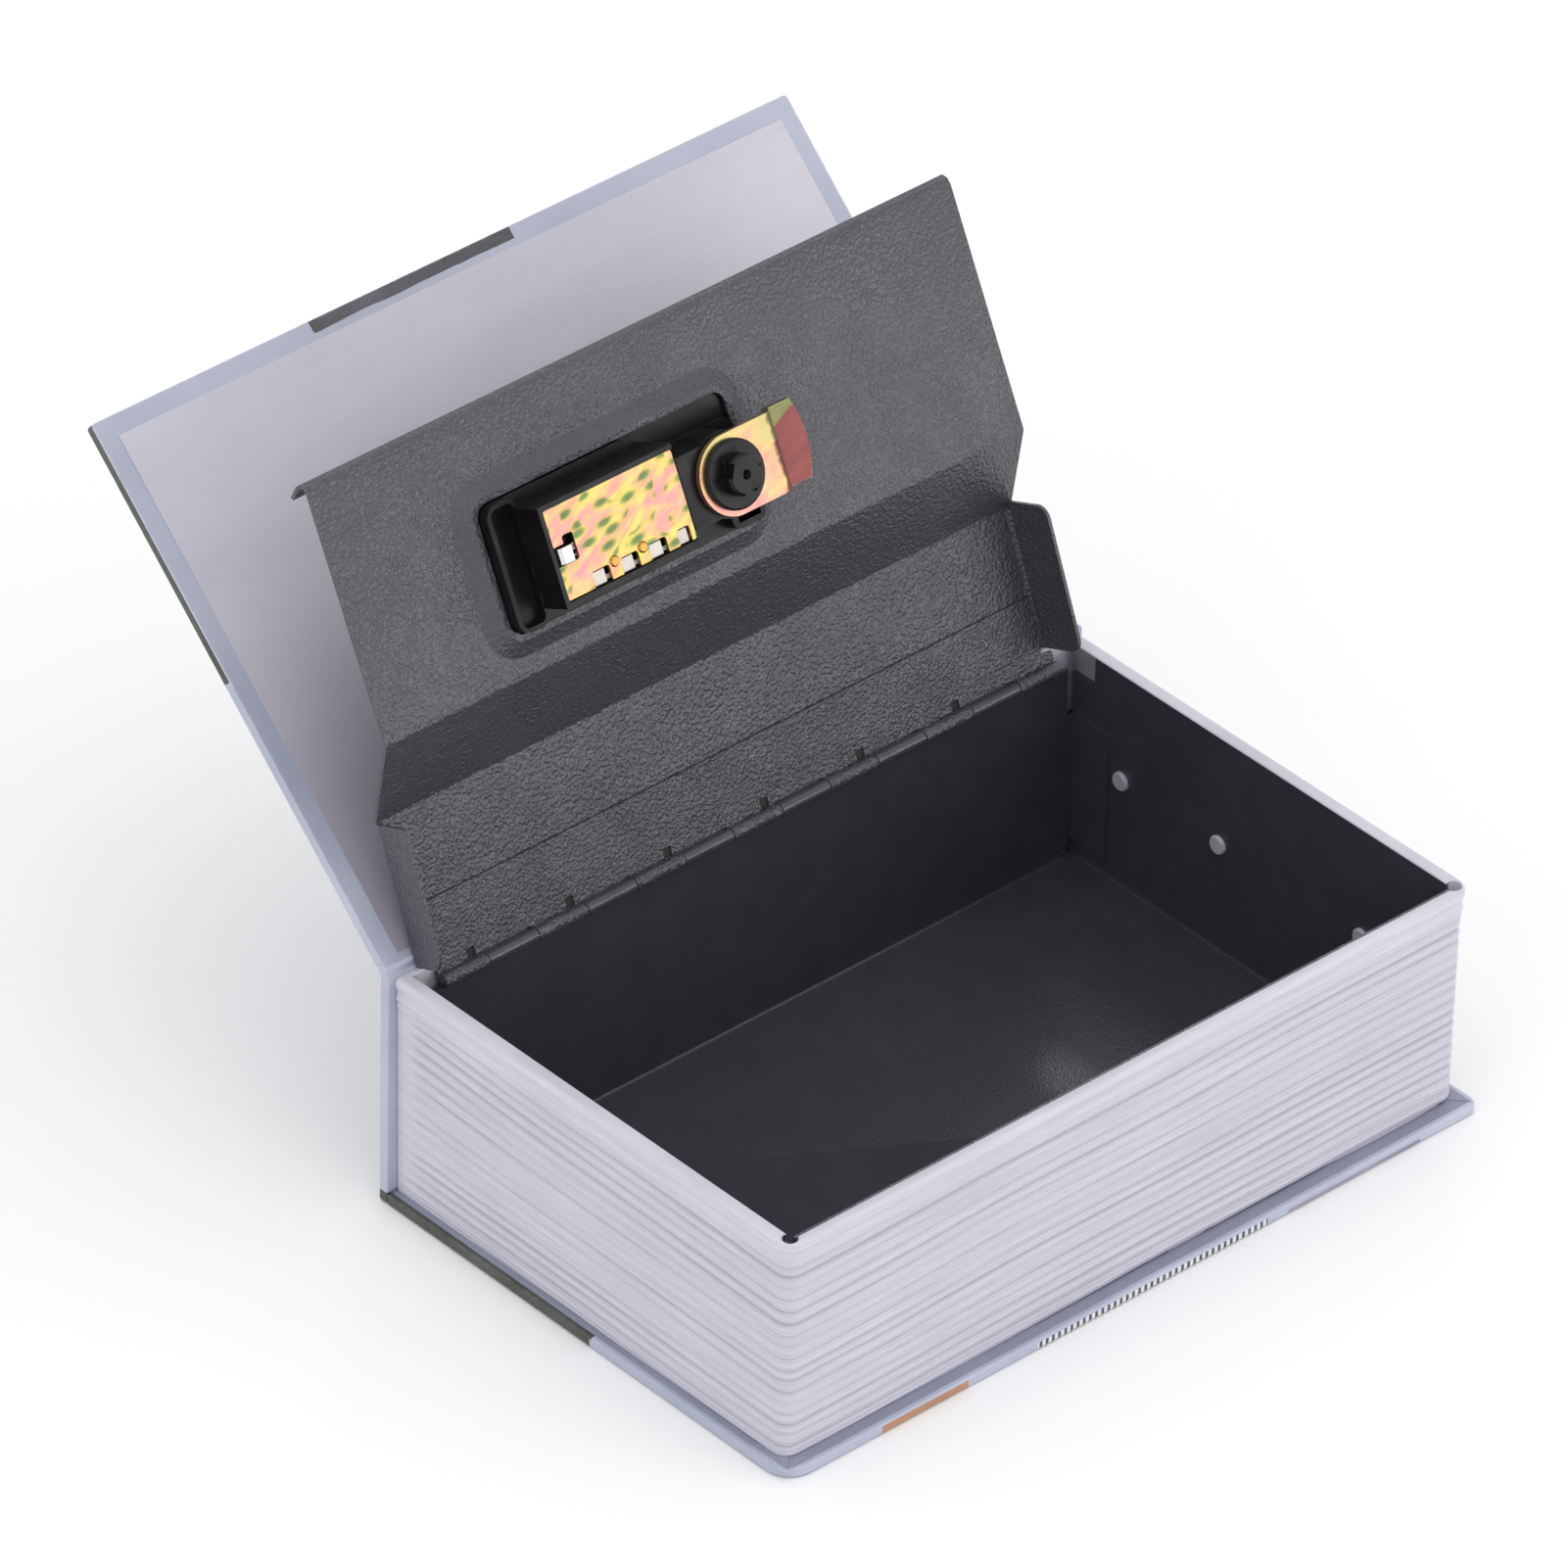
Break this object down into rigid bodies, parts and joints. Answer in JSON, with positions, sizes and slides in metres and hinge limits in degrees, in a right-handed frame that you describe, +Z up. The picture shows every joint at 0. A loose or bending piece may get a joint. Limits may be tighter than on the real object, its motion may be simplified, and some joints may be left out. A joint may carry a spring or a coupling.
{
  "type": "book diversion safe",
  "caption": "Small steel cash box hidden in a hard-cover book, with ribbed page-edge shell, hinged stepped lid, dial combination lock and cam, shown open.",
  "frame": {"origin": "centre of the back cover's underside", "axes": "+X along the hinge to the knob's side, +Y from the opening side to the spine, +Z up"},
  "size_m": [0.18, 0.2031, 0.1478],
  "materials": {
    "cover_paper": "printed wrap paper with a semi-gloss film",
    "endpaper": "uncoated pale lining paper",
    "page_plastic": "moulded pale lavender-white plastic",
    "box_paint": "dark grey satin paint",
    "lid_paint": "dark grey paint with a coarse glossy texture",
    "hinge_steel": "dark grey satin paint",
    "rivet_plastic": "grey plastic rivet heads",
    "lock_plastic": "black moulded plastic",
    "zinc_yellow": "iridescent yellow zinc plating on steel",
    "bright_steel": "bright steel",
    "spring_steel": "pale spring steel",
    "brass": "bright brass"
  },
  "bodies": {
    "case": {"back_cover": "cover_paper", "spine": "cover_paper", "page_shell": "page_plastic", "steel_box": "box_paint", "shell_rivet_left_1": "rivet_plastic", "shell_rivet_left_2": "rivet_plastic", "shell_rivet_left_3": "rivet_plastic", "shell_rivet_right_1": "rivet_plastic", "shell_rivet_right_2": "rivet_plastic", "shell_rivet_right_3": "rivet_plastic", "strike_plate": "zinc_yellow", "strike_rivet_1": "bright_steel", "strike_rivet_2": "bright_steel", "box_hinge_leaf": "hinge_steel", "hinge_pin": "hinge_steel"},
    "lid": {"lid_panel": "lid_paint", "lid_hinge_leaf": "hinge_steel", "lock_bezel": "lock_plastic", "lock_housing": "lock_plastic", "lock_cover_plate": "zinc_yellow", "plate_rivet_1": "brass", "plate_rivet_2": "brass", "detent_spring": "spring_steel", "dial_axle": "bright_steel"},
    "front_cover": {"front_cover": "cover_paper", "cover_crease": "cover_paper", "front_endpaper": "endpaper"},
    "knob": {"knob": "lock_plastic", "spindle": "bright_steel", "cam": "zinc_yellow", "cam_nut": "lock_plastic"},
    "code_lever": {"code_lever": "bright_steel"},
    "dial_1": {"dial_1": "lock_plastic", "dial_sleeve_1": "spring_steel"},
    "dial_2": {"dial_2": "lock_plastic", "dial_sleeve_2": "spring_steel"},
    "dial_3": {"dial_3": "lock_plastic", "dial_sleeve_3": "spring_steel"},
    "dial_4": {"dial_4": "lock_plastic", "dial_sleeve_4": "spring_steel"}
  },
  "joints": [
    {"name": "lid_hinge", "type": "hinge", "parent": "case", "child": "lid", "pos_m": [0, 0.0522, 0.0504], "axis": [-1, 0, 0], "range_deg": [-112.2, 0]},
    {"name": "cover_hinge", "type": "hinge", "parent": "case", "child": "front_cover", "pos_m": [0, 0.0578, 0.0548], "axis": [-1, 0, 0], "range_deg": [-136.9, 43.1]},
    {"name": "knob_turn", "type": "hinge", "parent": "lid", "child": "knob", "pos_m": [0.0019, 0.07331, 0.12038], "axis": [0, -0.895, 0.446], "range_deg": [0, 90]},
    {"name": "code_lever_slide", "type": "slide", "parent": "lid", "child": "code_lever", "axis": [1, 0, 0], "range_m": [0, 0.0012]},
    {"name": "dial_1_turn", "type": "hinge", "parent": "lid", "child": "dial_1", "pos_m": [0.0019, 0.07027, 0.1219], "axis": [1, 0, 0], "continuous": true},
    {"name": "dial_2_turn", "type": "hinge", "parent": "lid", "child": "dial_2", "pos_m": [0.0019, 0.07027, 0.1219], "axis": [1, 0, 0], "continuous": true},
    {"name": "dial_3_turn", "type": "hinge", "parent": "lid", "child": "dial_3", "pos_m": [0.0019, 0.07027, 0.1219], "axis": [1, 0, 0], "continuous": true},
    {"name": "dial_4_turn", "type": "hinge", "parent": "lid", "child": "dial_4", "pos_m": [0.0019, 0.07027, 0.1219], "axis": [1, 0, 0], "continuous": true}
  ],
  "couplings": [
    {"joint": "cover_hinge", "follows": "lid_hinge", "ratio": 1.2201}
  ]
}
